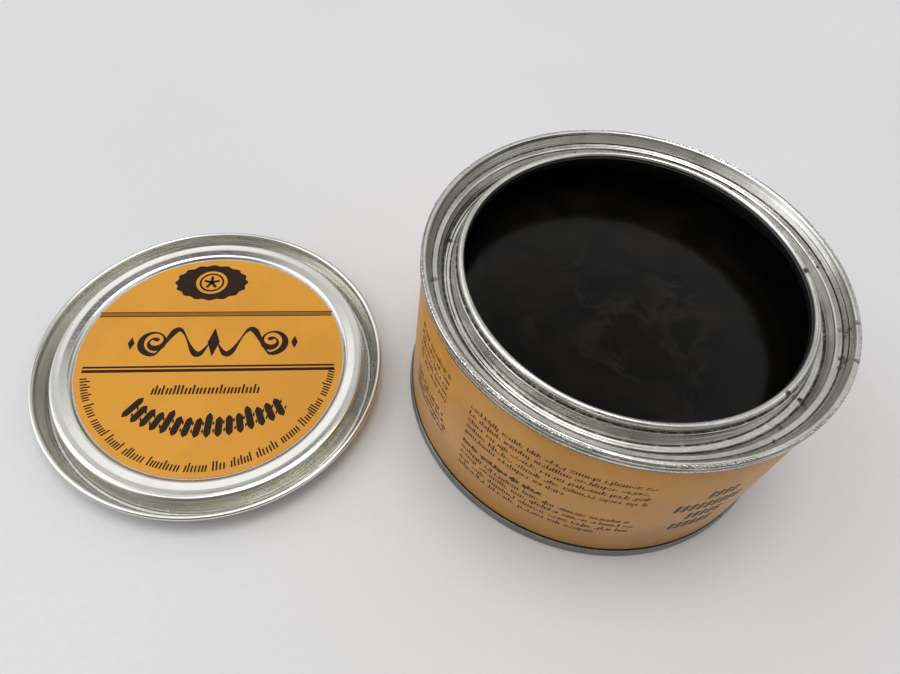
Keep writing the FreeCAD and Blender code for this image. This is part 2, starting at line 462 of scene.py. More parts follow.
def stain_film(t, spot, stains, ragged):
    """Dried film spots given as (angle, radius, height, size)."""
    film = None
    for angle, r0, z0, size in stains:
        a = math.radians(angle)
        node = t.nodes.new("ShaderNodeVectorMath")
        node.operation = "DISTANCE"
        t.feed(node.inputs[0], spot)
        node.inputs[1].default_value = (r0 * math.cos(a), r0 * math.sin(a), z0)
        gap = t.math("ADD", node.outputs["Value"], t.math("MULTIPLY", ragged, size * 1.6))
        here = t.spread(gap, size * 1.9, size * 1.5, 0.0, 1.0)
        film = here if film is None else t.math("MAXIMUM", film, here)
    return film


def tinplate(name, colour, wear, hatch, grain, base_rough, flat=None, creases=(), coat_and_shade=None,
             foot=None, stains=(), streaks=1.0, shade_and_dirt_share=1.0):
    """Bright tinned steel: rolled lines, seaming marks, scratches, grime and painted shade.

    flat is a radius inside which the sheet stays smooth; coat_and_shade is the radius
    and height under which old wax covers it, painted near-black as shade too; foot
    is a height under which it is painted darker, as shade and grime near the table.
    is dirty.
    """
    t = Tree(name)
    spot, cos, sin, angle, radius, z = round_the_axis(t)
    # fine lines that run round the axis
    lines = t.noise(
        t.vector(t.math("MULTIPLY", cos, 0.35), t.math("MULTIPLY", sin, 0.35),
                 t.math("MULTIPLY", radius, 2.6)),
        1.0, 3.0, 0.60, w=t.math("MULTIPLY", z, 2.6),
    )
    if flat is not None:
        shaped = t.spread(radius, flat - 0.15, flat + 0.25)
        lines = t.spread(shaped, 0.0, 1.0, 0.5, lines, smooth=False)
    # short marks that cross the round: upright on walls, radial on flats
    turn = t.math("MULTIPLY", angle, 47.0)
    upright = t.noise(
        t.vector(t.math("MULTIPLY", turn, 1.3), t.math("MULTIPLY", radius, 0.10),
                 t.math("MULTIPLY", z, 0.10)),
        1.0, 3.0, 0.6,
    )
    haze = t.noise(spot, 0.11, 4.0, 0.6)
    fine = t.noise(spot, 2.4, 3.0, 0.6)
    # long fine scratches in random directions
    scratch_space = t.nodes.new("ShaderNodeMapping")
    t.feed(scratch_space.inputs["Vector"], spot)
    scratch_space.inputs["Rotation"].default_value = (0.35, 0.2, 0.75)
    scratch_space.inputs["Scale"].default_value = (0.16, 2.6, 1.0)
    scratch = t.noise(scratch_space.outputs[0], 1.0, 4.0, 0.7, 0.6)
    scratch = t.spread(t.math("ABSOLUTE", t.math("SUBTRACT", scratch, 0.5)), 0.0, 0.012, 1.0, 0.0)
    pits = t.spread(t.cells(spot, 0.9), 0.05, 0.12, 1.0, 0.0)
    # colour: warm haze, darker in grooves, pits and scratches
    dull = tuple(c * (1.0 - 0.22 * wear) for c in colour[:3]) + (1.0,)
    tone = t.mix(t.spread(haze, 0.35, 0.7), colour, dull)
    groove = t.spread(lines, 0.555, 0.60)
    broken = t.spread(t.noise(spot, 0.07, 3.0), 0.38, 0.58, 0.35, 1.0)
    groove = t.math("MULTIPLY", groove, broken)
    tone = t.mix(t.math("MULTIPLY", groove, grain * shade_and_dirt_share), tone, rgb(34, 32, 28))
    marks = t.math("MULTIPLY", t.math("MAXIMUM", pits, scratch), 0.35 * wear)
    tone = t.mix(marks, tone, rgb(92, 84, 70))
    rough = t.math("ADD", base_rough, t.math("MULTIPLY", t.spread(haze, 0.3, 0.75), 0.07 * wear))
    rough = t.math("ADD", rough, t.math("MULTIPLY", fine, 0.04))
    rough = t.math("ADD", rough, t.math("MULTIPLY", scratch, 0.10 * wear))
    step = t.bump(t.noise(spot, 0.09, 2.0), 1.0, 0.03 * grain)
    step = t.bump(lines, 1.0, 0.11 * grain, step)
    step = t.bump(upright, 0.45 * streaks, 0.022, step)
    if hatch:
        # slanting marks that the seaming roll pressed into the seam's outside
        slant = t.math("ADD", t.math("MULTIPLY", turn, 1.15), t.math("MULTIPLY", z, 1.5))
        wobble = t.noise(spot, 0.5, 2.0)
        slant = t.math("ADD", slant, t.math("MULTIPLY", wobble, 4.0))
        hatching = t.math("ABSOLUTE", t.math("SINE", t.math("MULTIPLY", slant, 2.7)))
        patch = t.spread(t.noise(spot, 0.06, 2.0), 0.36, 0.52)
        outside = t.spread(radius, 50.25, 50.6)
        hatching = t.math("MULTIPLY", t.math("MULTIPLY", hatching, patch), outside)
        step = t.bump(hatching, 1.0, 0.13 * hatch, step)
        pressed = t.spread(hatching, 0.45, 0.15, 0.0, 1.0)
        pressed = t.math("MULTIPLY", t.math("MULTIPLY", pressed, patch), outside)
        tone = t.mix(t.math("MULTIPLY", pressed, 0.75 * hatch), tone, rgb(50, 48, 45))
    ragged = t.noise(spot, 0.9, 4.0, 0.65)
    metal = 1.0
    if creases:
        # painted shade, with some grime, darkens the folds
        fold_shade_and_dirt = crease_shade_and_dirt(t, radius, z, creases, t.spread(ragged, 0.30, 0.52, 0.35, 1.0))
        tone = t.mix(t.math("MULTIPLY", fold_shade_and_dirt, 0.92 * shade_and_dirt_share), tone, rgb(30, 27, 23))
        rough = t.math("ADD", rough, t.math("MULTIPLY", fold_shade_and_dirt, 0.25))
    if foot is not None:
        # painted shade, with grime, darkens the sheet towards the table
        uneven = t.spread(ragged, 0.30, 0.6, 0.86, 1.0)
        foot_shade_and_grime = t.math("MULTIPLY", t.spread(z, foot, foot * 0.75), uneven)
        tone = t.mix(t.math("MULTIPLY", foot_shade_and_grime, 0.62), tone, rgb(96, 95, 92))
        rough = t.math("ADD", rough, t.math("MULTIPLY", foot_shade_and_grime, 0.22))
    if coat_and_shade is not None:
        # old wax in the throat, painted near-black as the shade inside the tin
        inside = t.math("MULTIPLY", t.spread(radius, coat_and_shade[0], coat_and_shade[0] - 0.25),
                        t.spread(z, coat_and_shade[1], coat_and_shade[1] - 0.7))
        tone = t.mix(inside, tone, rgb(13, 11, 10))
        rough = t.math("MAXIMUM", rough, t.math("MULTIPLY", inside, 0.38))
        metal = t.spread(inside, 0.0, 1.0, 1.0, 0.0)
    if stains:
        film = stain_film(t, spot, stains, ragged)
        brown = t.mix(t.spread(ragged, 0.42, 0.62), rgb(58, 48, 38), rgb(126, 104, 82))
        tone = t.mix(t.math("MULTIPLY", film, 0.72), tone, brown)
        rough = t.math("ADD", rough, t.math("MULTIPLY", film, 0.35))
    nicks = t.math("MULTIPLY", t.math("ADD", scratch, pits), -1.0)
    step = t.bump(nicks, 0.5 * wear, 0.012, step)
    return t.set(Base_Color=tone, Metallic=metal, Roughness=rough, Normal=step)


def paper(name, colour, shade, rough, gloss):
    """Printed label paper: fibre, slight cockling, varnish and soiling."""
    t = Tree(name)
    spot = t.place()
    fibre = t.noise(spot, 3.2, 5.0, 0.62)
    cloud = t.noise(spot, 0.055, 3.0, 0.55)
    specks = t.spread(t.cells(spot, 1.15), 0.03, 0.07, 1.0, 0.0)
    tone = t.mix(t.spread(cloud, 0.35, 0.68), colour, shade)
    tone = t.mix(t.math("MULTIPLY", t.spread(fibre, 0.3, 0.7), 0.10), tone, rgb(240, 196, 120))
    tone = t.mix(t.math("MULTIPLY", specks, 0.30), tone, rgb(120, 72, 28))
    roughness = t.math("ADD", rough, t.math("MULTIPLY", fibre, 0.14))
    cockle = t.bump(t.noise(spot, 0.10, 2.0), 0.7, 0.10)
    step = t.bump(fibre, 0.45, 0.012, cockle)
    return t.set(
        Base_Color=tone, Roughness=roughness, Normal=step, Coat_Weight=gloss,
        Coat_Roughness=0.22, IOR=1.45, Specular_IOR_Level=0.32,
    )


def ink(name, colour, edge, rough):
    """Printing ink: uneven density over the paper's tooth."""
    t = Tree(name)
    spot = t.place()
    tooth = t.noise(spot, 3.6, 4.0, 0.6)
    body = t.noise(spot, 0.35, 2.0)
    tone = t.mix(t.spread(tooth, 0.35, 0.75), colour, edge)
    tone = t.mix(t.math("MULTIPLY", t.spread(body, 0.4, 0.7), 0.35), tone, edge)
    roughness = t.math("ADD", rough, t.math("MULTIPLY", tooth, 0.15))
    return t.set(
        Base_Color=tone, Roughness=roughness, Normal=t.bump(tooth, 0.4, 0.01),
        Specular_IOR_Level=0.15,
    )


WAX_CALM = 34.0             # radius where the swirls in the wax die out


def wax_material():
    """Near-black paste wax, glossy, with faint brown swirls in its skin."""
    t = Tree("dark_wax")
    spot = t.place()
    x, y, _ = t.axes(spot)
    flow = t.noise(spot, 0.045, 3.0, 0.55, 1.2)
    vein = t.noise(spot, 0.05, 3.0, 0.55, 1.4)
    vein = t.spread(t.math("ABSOLUTE", t.math("SUBTRACT", vein, 0.5)), 0.0, 0.07, 1.0, 0.0)
    cloud = t.spread(t.noise(spot, 0.06, 2.0), 0.42, 0.6)
    middle = t.spread(t.math("ADD", t.math("MULTIPLY", x, x), t.math("MULTIPLY", y, y)),
                      WAX_CALM ** 2, 0.0)
    vein = t.math("MULTIPLY", t.math("MULTIPLY", vein, cloud), middle)
    grain = t.noise(spot, 1.6, 4.0, 0.6)
    tone = t.mix(t.spread(flow, 0.4, 0.7), rgb(9, 8, 7), rgb(20, 17, 14))
    tone = t.mix(t.math("MULTIPLY", vein, 0.30), tone, rgb(44, 40, 34))
    rough = t.math("ADD", 0.13, t.math("MULTIPLY", vein, 0.10))
    rough = t.math("ADD", rough, t.math("MULTIPLY", grain, 0.06))
    step = t.bump(flow, 0.5, 0.25)
    step = t.bump(vein, 0.4, 0.04, step)
    step = t.bump(grain, 0.3, 0.008, step)
    return t.set(Base_Color=tone, Roughness=rough, Normal=step, IOR=1.40,
                 Specular_IOR_Level=0.29)


def wax_film_and_shade_material():
    """Wax smeared thinly over the inside of the tin, its near-black also painted shade."""
    t = Tree("wax_shade_film")
    spot = t.place()
    smear = t.noise(spot, 0.7, 4.0, 0.6)
    tone = t.mix(t.spread(smear, 0.35, 0.7), rgb(10, 9, 8), rgb(20, 17, 14))
    rough = t.math("ADD", 0.36, t.math("MULTIPLY", smear, 0.2))
    return t.set(Base_Color=tone, Roughness=rough, Normal=t.bump(smear, 0.5, 0.03))


def residue_material():
    """Dried smears of wax left on the rim."""
    t = Tree("dried_residue")
    spot = t.place()
    lump = t.noise(spot, 1.3, 4.0, 0.6)
    tone = t.mix(t.spread(lump, 0.4, 0.66), rgb(30, 24, 19), rgb(92, 66, 42))
    rough = t.math("ADD", 0.42, t.math("MULTIPLY", lump, 0.3))
    return t.set(Base_Color=tone, Roughness=rough, Normal=t.bump(lump, 0.8, 0.08))


def compound_material():
    """Grey-green sealing rubber squeezed inside the seams."""
    t = Tree("seam_rubber")
    spot = t.place()
    grain = t.noise(spot, 2.0, 4.0, 0.6)
    tone = t.mix(t.spread(grain, 0.3, 0.7), rgb(92, 96, 88), rgb(66, 70, 64))
    rough = t.math("ADD", 0.55, t.math("MULTIPLY", grain, 0.2))
    return t.set(Base_Color=tone, Roughness=rough, Normal=t.bump(grain, 0.4, 0.02))


def table_material():
    """Pale matt table top with the faintest grain."""
    t = Tree("pale_table")
    spot = t.place()
    grain = t.noise(spot, 0.6, 4.0, 0.6)
    cloud = t.noise(spot, 0.006, 2.0)
    tone = t.mix(t.spread(cloud, 0.3, 0.7), rgb(228, 228, 230), rgb(222, 222, 223))
    tone = t.mix(t.math("MULTIPLY", t.spread(grain, 0.3, 0.7), 0.25), tone, rgb(216, 216, 217))
    rough = t.math("ADD", 0.52, t.math("MULTIPLY", grain, 0.12))
    return t.set(Base_Color=tone, Roughness=rough, Normal=t.bump(grain, 0.12, 0.02))


# folds of the ring, then of the lid, darkened with painted shade and some grime: radius, height,
# reach
RING_CREASES = [
    (PANEL_LINE + SKIN, below(3.05), 0.50),
    (PANEL_LINE + SKIN, below(1.55), 0.30),
    (PANEL_LINE + SKIN - 0.1, below(0.45), 0.22),
    (42.28 + SKIN, below(2.20) + SKIN, 0.58),
    (43.50, below(5.70) + SKIN, 0.55),
    (45.45, below(5.70) + SKIN, 0.60),
    (48.25, below(3.00) + SKIN, 0.40),
]
LID_CREASES = [
    (37.25, LID_PANEL + SKIN, 0.42),
    (44.00, 2 * SKIN, 0.75),
    (45.00, 2 * SKIN, 0.75),
]
# dried wax film on the ring: angle, radius, height, size
FILM_SPOTS = [
    (-17.0, 49.3, below(2.2), 1.15), (-18.9, 48.5, below(2.9), 0.75), (-15.3, 50.1, below(0.4), 0.75),
    (-16.2, 47.8, below(3.0), 0.80), (-28.0, 49.2, below(2.2), 1.25), (-30.0, 48.4, below(2.9), 0.85),
    (-26.4, 48.1, below(2.9), 0.85), (-28.4, 50.3, below(0.3), 0.75), (3.0, 41.5, below(0.2), 0.95),
    (166.0, 45.0, below(5.5), 0.85), (-51.0, 42.0, below(0.4), 0.85), (-44.0, 44.9, below(5.5), 0.80),
    (-58.0, 46.4, below(4.0), 0.70), (-175.0, 47.8, below(3.0), 0.80), (9.0, 48.2, below(3.0), 0.90),
]
RING_TIN = tinplate("ring_tin", rgb(232, 231, 225), 1.0, 1.0, 1.0, 0.075, creases=RING_CREASES,
                    coat_and_shade=(41.5, below(1.1)), stains=FILM_SPOTS)
LID_TIN = tinplate("lid_tin", rgb(230, 229, 223), 0.25, 0.0, 0.75, 0.085, flat=42.45,
                   creases=LID_CREASES, streaks=0.15, shade_and_dirt_share=0.5)
# the body's tin is painted darker near the table: painted shade with grime
BODY_TIN = tinplate("body_tin", rgb(205, 203, 196), 0.8, 0.8, 0.9, 0.16,
                    foot=4.4)
BODY_PAPER = paper("body_label_paper", rgb(206, 148, 68), rgb(194, 137, 61), 0.34, 0.25)
LID_PAPER = paper("lid_label_paper", rgb(221, 153, 40), rgb(213, 146, 40), 0.42, 0.0)
DARK_INK = ink("dark_ink", rgb(30, 17, 12), rgb(54, 33, 20), 0.45)
SLATE_INK = ink("slate_ink", rgb(52, 54, 58), rgb(84, 76, 66), 0.38)
TEXT_INK = ink("text_ink", rgb(62, 42, 27), rgb(92, 62, 36), 0.38)
BROWN_INK = ink("brown_ink", rgb(140, 90, 26), rgb(160, 106, 34), 0.38)
WAX = wax_material()
WAX_FILM_AND_SHADE = wax_film_and_shade_material()
RESIDUE = residue_material()
RUBBER = compound_material()


# ---- tinplate pieces --------------------------------------------------------
def inner_wax_and_shade(path):
    """Spun sheet whose inner skin is covered in old wax, painted near-black as shade."""
    return spin(sheet_outline(path), second_until=len(offset_line(path, SKIN)))


finish_mesh("ring_shell", inner_wax_and_shade(TOP_RING), RING_TIN, "can",
            ["top_ring"], second=WAX_FILM_AND_SHADE)
finish_mesh("bottom_shell", spin(sheet_outline(BOTTOM_END)), BODY_TIN, "can",
            ["bottom_end"])
finish_mesh("wall_shell", inner_wax_and_shade(CAN_WALL), BODY_TIN, "can",
            ["can_body"], second=WAX_FILM_AND_SHADE)
finish_mesh("lid_shell", spin(sheet_outline(LID_SHEET)), LID_TIN, "lid",
            ["lid"], (LID_X, 0.0, 0.0))
for node in ("top_seam_compound", "bottom_seam_compound"):
    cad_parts[node].data.materials.clear()
    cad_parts[node].data.materials.append(RUBBER)


# ---- wax --------------------------------------------------------------------
WAX_CLIMB = 0.40            # how far the wax climbs the wall
WAX_CLIMB_WIDE = 1.2
WAX_STEP = 0.9              # ring spacing of its top
WAX_FLOOR = 5.0


def wax_surface():
    """Set wax: a faintly uneven top that climbs a little at the wall."""
    wall = WAX_HIGH.x
    level = WAX_HIGH.z - WAX_CLIMB
    outline = [(0.0, level)]
    r = WAX_STEP
    while r < wall - WAX_CLIMB_WIDE - 0.1:
        outline.append((r, level))
        r += WAX_STEP
    for n in range(9):
        share = n / 8
        outline.append((wall - WAX_CLIMB_WIDE * (1 - share), level + WAX_CLIMB * share ** 2))
    outline += [(wall, 20.0), (wall, WAX_FLOOR + 0.2), (48.4, WAX_FLOOR), (0.0, WAX_FLOOR)]

    def settle(p):
        if p.z < level - 0.01:
            return p
        calm = 1.0 - min(1.0, max(0.0, (math.hypot(p.x, p.y) - 40.0) / 9.0))
        swell = noise.noise(Vector((p.x, p.y, 3.0)) * 0.045)
        swirl = noise.noise(Vector((p.x, p.y, 9.0)) * 0.16)
        lift = calm * (0.10 * swell + 0.03 * swirl) - 0.05 * calm
        return Vector((p.x, p.y, p.z + lift))

    return spin(outline, settle)


finish_mesh("wax_surface", wax_surface(), WAX, "can", ["wax_fill"])


# ---- labels -----------------------------------------------------------------
def disc_outline(radius, low, high, edge=0.04, step=2.4):
    """Flat disc whose upper edge is cut off by edge."""
    outline = [(0.0, high)]
    r = step
    while r < radius - 0.5:
        outline.append((r, high))
        r += step
    return outline + [(radius - edge, high), (radius, high - edge), (radius, low), (0.0, low)]


finish_mesh("lid_paper", spin(disc_outline(DISC_R, DISC_LOW.z, DISC_TOP)),
            LID_PAPER, "lid", ["lid_label"], (LID_X, 0.0, 0.0))


PAPER_THICK = 0.14
PAPER_GAP = 0.004           # between the paper and the wall
PAPER_LAP = 7.0             # how far its end lies over its start
PAPER_RAMP = 0.9            # where the end climbs on to the start
PAPER_STEPS = 300


def wrapped_label():
    """Paper wound round the body, its end lapped over its start."""
    data = bmesh.new()
    lap = PAPER_LAP / (WALL_OUT + 0.15)
    ramp = PAPER_RAMP / (WALL_OUT + 0.15)
    first = LAP_ANGLE - lap / 2
    last = LAP_ANGLE + math.tau + lap / 2
    rows = []
    low, high = PAPER_LOW.z, PAPER_HIGH.z
    for k in range(PAPER_STEPS + 1):
        a = first + (last - first) * k / PAPER_STEPS
        over = (a - (first + math.tau - ramp)) / ramp
        r0 = WALL_OUT + PAPER_GAP + 0.15 * min(1.0, max(0.0, over))
        r1 = r0 + PAPER_THICK
        section = [
            (r0, low), (r0, high), (r1 - 0.03, high), (r1, high - 0.05),
            (r1, (low + high) / 2), (r1, low + 0.05), (r1 - 0.03, low),
        ]
        rows.append([
            data.verts.new(Vector((r * math.cos(a), r * math.sin(a), z)) * MM)
            for r, z in section
        ])
    for a, b in zip(rows, rows[1:]):
        for k in range(len(a)):
            n = (k + 1) % len(a)
            data.faces.new((a[k], a[n], b[n], b[k]))
    data.faces.new(rows[0])
    data.faces.new(rows[-1][::-1])
    return data


finish_mesh("body_paper", wrapped_label(), BODY_PAPER, "can",
            ["body_label"])


# ---- print: no letters, only marks of the same weight and place --------------
LID_TURN = math.radians(4.0)  # the lid's print is a little askew
OVERLAY = 0.006             # lift of a stroke that crosses another


def on_lid(u, v, h):
    """Point of the lid label, u to the right and v away, before its slant."""
    x = u * math.cos(LID_TURN) - v * math.sin(LID_TURN)
    y = u * math.sin(LID_TURN) + v * math.cos(LID_TURN)
    return Vector((x + LID_X, y, DISC_TOP + h)) * MM


PRINT_R = WALL_OUT + PAPER_GAP + PAPER_THICK


def on_body(u, v, h):
    """Point of the body label: u millimetres round from +X, v up."""
    a = u / PRINT_R
    r = PRINT_R + h
    return Vector((r * math.cos(a), r * math.sin(a), v)) * MM


def ticks(marks, rng, start, end, line, height, weight=1.0):
    """Row of separate little ticks, dashes and dots in uneven groups."""
    x = start
    while x < end - height * 0.4:
        for _ in range(rng.randint(4, 15)):
            if x > end - height * 0.3:
                break
            kind = rng.random()
            pen = height * rng.uniform(0.19, 0.25) * weight
            if kind < 0.62:
                tall = height * rng.choice((0.66, 0.66, 0.66, 0.72, 1.0))
                low = line if rng.random() < 0.9 else line - height * 0.28
                marks.bar((x, low), (x + height * 0.05, line + tall), pen, 1)
            else:
                for up in rng.choice(((0.10, 0.56), (0.10, 0.56), (0.33,), (0.08,))):
                    mid = line + height * up
                    marks.bar((x - pen * 0.5, mid), (x + pen * 0.75, mid), pen * 0.95, 1)
            x += height * rng.uniform(0.31, 0.38)
        x += height * rng.uniform(0.35, 0.55)


def rounded_ring(marks, centre, inner, outer, count=96, scallop=0.0, lobes=12):
    """Band between two ellipses given as (half width, half height)."""
    left, right = [], []
    for k in range(count):
        a = math.tau * k / count
        wave = 1.0 + scallop * math.cos(lobes * a)
        left.append((centre[0] + inner[0] * math.cos(a), centre[1] + inner[1] * math.sin(a)))
        right.append((
            centre[0] + outer[0] * wave * math.cos(a),
            centre[1] + outer[1] * wave * math.sin(a),
        ))
    marks.ribbon(left, right, closed=True)


def lozenge(marks, centre, wide, tall):
    """Diamond mark."""
    points = [(centre[0], centre[1] - tall / 2 + tall * k / 6) for k in range(7)]
    widths = [wide * (0.06 + 0.94 * (1 - abs(k / 3 - 1))) for k in range(7)]
    marks.stroke(points, widths)


def picket(marks, at, wide, tall, lean=0.0):
    """Heavy upright slab with pointed ends, drawn through at(side, up)."""
    shares = (0.0, 0.12, 0.2, 0.8, 0.88, 1.0)
    girths = (0.15, 0.85, 1.0, 1.0, 0.85, 0.15)
    points = [at(lean * (s - 0.5), tall * s) for s in shares]
    marks.stroke(points, [wide * g for g in girths])


def pen_line(marks, curve, count, thin, thick, swell, tips=(True, True)):
    """Calligraphic stroke: curve(t) for t from 0 to 1, swelling on swell(t).

    tips says whether the stroke thins out at its start and at its end.
    """
    points = [curve(k / count) for k in range(count + 1)]
    widths = []
    for k in range(count + 1):
        t = k / count
        taper = 1.0
        if tips[0]:
            taper = min(taper, 16 * t + 0.15)
        if tips[1]:
            taper = min(taper, 16 * (1 - t) + 0.15)
        widths.append((thin + (thick - thin) * swell(t)) * taper)
    marks.stroke(points, widths)


def lid_print():
    rng = random.Random(SEED)
    dark = Marks(on_lid)
    brown = Marks(on_lid)
    # badge: scalloped oval with a round window and a small star
    badge = (-3.1, 27.8)
    rounded_ring(dark, badge, (4.7, 4.5), (10.6, 6.8), scallop=0.035, lobes=16)
    rounded_ring(dark, badge, (3.1, 3.0), (3.7, 3.6), count=64)
    for k in range(5):
        a = math.tau * k / 5 + math.pi / 2
        dark.bar(badge, (badge[0] + 2.4 * math.cos(a), badge[1] + 2.4 * math.sin(a)), 0.9)
    # single rule and double rule
    brown.bar((-33.4, 15.6), (33.4, 15.6), 1.25, 40, 1.0)
    dark.bar((-33.6, 16.35), (33.6, 16.35), 0.25, 40, 1.0)
    dark.bar((-33.6, 14.85), (33.6, 14.85), 0.25, 40, 1.0)
    for v, wide in ((-2.9, 0.62), (-4.2, 0.95)):
        dark.bar((-34.6, v), (34.6, v), wide, 40, 1.0)
    # flourish: two mirrored waves, each with a spiral laid over its end
    curl, centre, join = 4.4, 5.6, 16.5
    for side in (-1.0, 1.0):
        def wave(t, side=side):
            rise = curl * math.cos(math.tau * 1.25 * (1 - t))
            return (side * (1.0 + (join - 1.0) * t), centre - rise)

        def spiral(t, side=side):
            turn = -math.pi / 2 + math.tau * 1.7 * t
            arm = curl * (1 - 0.86 * t)
            return (side * (join + arm * math.cos(turn)), centre + arm * math.sin(turn))

        def swell(t):
            return math.sin(math.tau * 2.25 * t) ** 2

        pen_line(dark, wave, 60, 0.5, 1.9, lambda t: swell(t / 2), (True, False))
        dark.lift += OVERLAY
        pen_line(dark, spiral, 60, 0.5, 1.9, lambda t: swell(0.5 + t / 2), (False, True))
        dark.lift -= OVERLAY
        lozenge(dark, (side * 23.0, 5.2), 1.9, 4.2)
    lozenge(dark, (0.0, 5.4), 3.4, 9.6)
    # short row of upright ticks under the rules
    x = -14.6
    while x < 14.6:
        tall = rng.choice((2.1, 2.1, 3.0))
        dark.bar((x, -12.0), (x + 0.35, -12.0 + tall), 0.55, 1)
        x += rng.uniform(0.85, 1.15)
    # heavy arched row of pickets and lozenges
    reach, middle = 38.0, (0.4, 12.6)
    a = math.radians(-124.0)
    beat = 0
    while a < math.radians(-53.0):
        def at(side, up, a=a):
            r = reach - up
            turn = a + side / reach
            return (middle[0] + r * math.cos(turn), middle[1] + r * math.sin(turn))
        picket(dark, at, 1.9, 7.4 if beat % 4 == 0 else 6.0, 0.7)
        for up in (1.9, 4.2):
            lozenge(dark, at(1.5, up), 0.6, 1.4)
        a += 3.0 / reach
        beat += 1
    # ticks round the edge
    edge = 35.2
    a = math.radians(-169.0)
    while a < math.radians(-17.0):
        for _ in range(rng.randint(4, 11)):
            tall = rng.choice((1.9, 1.9, 2.7))
            dark.bar(
                (edge * math.cos(a), edge * math.sin(a)),
                ((edge - tall) * math.cos(a + 0.008), (edge - tall) * math.sin(a + 0.008)),
                0.44, 1,
            )
            a += rng.uniform(0.78, 1.0) / edge
        a += 1.0 / edge
    dark.make("lid_print_dark", DARK_INK, "lid")
    brown.make("lid_print_rule", BROWN_INK, "lid")


def arc_mm(degrees):
    return math.radians(degrees) * PRINT_R


def body_print():
    rng = random.Random(SEED + 1)
    small = Marks(on_body)
    slate = Marks(on_body)
    blocks = [
        (-140, -88, (40.0, 37.3, 34.5, 31.7), 1.0), (-140, -109, (29.0,), 1.0),
        (-140, -111, (24.5,), 1.5), (-140, -88, (21.5, 19.0, 16.3), 1.0),
        (-140, -96, (13.7,), 1.0),
        (-168, -147, (40.6, 38.0, 35.4, 32.8, 30.2), 1.0),
        (-168, -147, (23.0, 20.8, 18.6, 16.5), 1.0),
        (128, 176, (40.0, 37.4, 34.8, 32.2, 29.6), 1.0),
        (128, 170, (24.0, 21.4, 18.8, 16.2), 1.0),
        (52, 88, (40.0, 37.4, 34.8, 32.2), 1.0), (52, 82, (26.0, 23.4, 20.8, 18.2), 1.0),
    ]
    for start, end, lines, weight in blocks:
        for line in lines:
            stop = arc_mm(end) - rng.uniform(0.0, 2.5)
            ticks(small, rng, arc_mm(start), stop, line - 0.7, 1.75, weight)

    def heavy(middle, line, wide, tall):
        x = middle - wide / 2
        while x < middle + wide / 2:
            picket(slate, lambda s, up, x=x: (x + s, line + up), 0.95, tall, 0.3)
            for up in (0.28, 0.72):
                lozenge(slate, (x + 0.95, line + tall * up), 0.6, 1.0)
            x += 1.9

    for middle, line, wide, tall in (
        (-70.5, 32.0, 6.0, 4.0), (-71.0, 26.0, 17.0, 4.2),
        (-70.0, 20.5, 9.0, 4.0), (-71.5, 15.0, 11.0, 4.0),
    ):
        heavy(arc_mm(middle), line, wide, tall)
    # front panel: rules, badge and a row of pickets
    for v, wide in ((43.6, 0.7), (8.4, 0.7), (9.7, 0.35), (42.4, 0.35)):
        slate.bar((arc_mm(-52), v), (arc_mm(46), v), wide, 70, 1.0)
    rounded_ring(slate, (0.0, 33.5), (3.6, 3.6), (8.4, 5.2), scallop=0.035, lobes=16)
    for k in range(5):
        a = math.tau * k / 5 + math.pi / 2
        slate.bar((0.0, 33.5), (2.1 * math.cos(a), 33.5 + 2.1 * math.sin(a)), 0.7)
    heavy(0.0, 18.5, 44.0, 5.6)
    ticks(small, rng, -14.0, 14.0, 12.6, 2.2, 1.0)
    small.make("body_print_text", TEXT_INK, "can")
    slate.make("body_print_heavy", SLATE_INK, "can")


lid_print()
body_print()


# ---- dried residue on the rim -----------------------------------------------
def crumb(rng, angle, radius, height, size, flat=0.45):
    """Small irregular smear, its middle on the metal."""
    data = bmesh.new()
    bmesh.ops.create_icosphere(data, subdivisions=3, radius=1.0)
    a = math.radians(angle)
    out = Vector((math.cos(a), math.sin(a), 0.0))
    round_way = Vector((-math.sin(a), math.cos(a), 0.0))
    seed = Vector((rng.uniform(0, 50), rng.uniform(0, 50), rng.uniform(0, 50)))
    stretch = rng.uniform(0.8, 1.5)
    for vert in data.verts:
        lump = 1.0 + 0.75 * noise.noise(vert.co * 1.6 + seed) + 0.3 * noise.noise(vert.co * 4 + seed)
        p = vert.co * size * lump
        centre = out * radius + Vector((0, 0, height))
        p = centre + round_way * p.x * stretch + out * p.y + Vector((0, 0, p.z * flat))
        p.z = min(p.z, RIM_TOP - 0.004)
        vert.co = p * MM
    return data


rng = random.Random(SEED + 2)
SMEARS = [
    (3.0, 41.1, 51.70, 0.42), (-17.4, 49.20, 49.55, 0.46), (-18.6, 48.55, 49.12, 0.40),
    (-15.4, 50.35, 51.75, 0.30), (-28.2, 49.20, 49.60, 0.50), (-29.8, 48.50, 49.12, 0.42),
    (-26.8, 48.10, 49.08, 0.34), (166.0, 45.0, 46.46, 0.40), (-51.0, 42.05, 51.60, 0.44),
    (-44.0, 44.6, 46.46, 0.36), (-57.0, 46.2, 47.5, 0.34), (-22.0, 48.4, 49.08, 0.30),
    (-175.0, 48.2, 49.08, 0.30), (7.5, 47.2, 48.95, 0.34), (104.0, 42.0, 51.70, 0.26),
    (45.0, 42.0, 51.70, 0.28), (159.0, 50.85, 51.60, 0.26), (114.0, 49.75, 51.60, 0.26),
    (95.0, 49.75, 51.60, 0.24), (-63.0, 48.0, 49.08, 0.28), (-110.0, 42.0, 51.65, 0.24),
]
rim_smears = bmesh.new()
for angle, radius, height, size in SMEARS:
    piece = crumb(rng, angle, radius, height, size)
    scratch = bpy.data.meshes.new("scratch")
    piece.to_mesh(scratch)
    piece.free()
    rim_smears.from_mesh(scratch)
    bpy.data.meshes.remove(scratch)
finish_mesh("rim_smears", rim_smears, RESIDUE, "can")


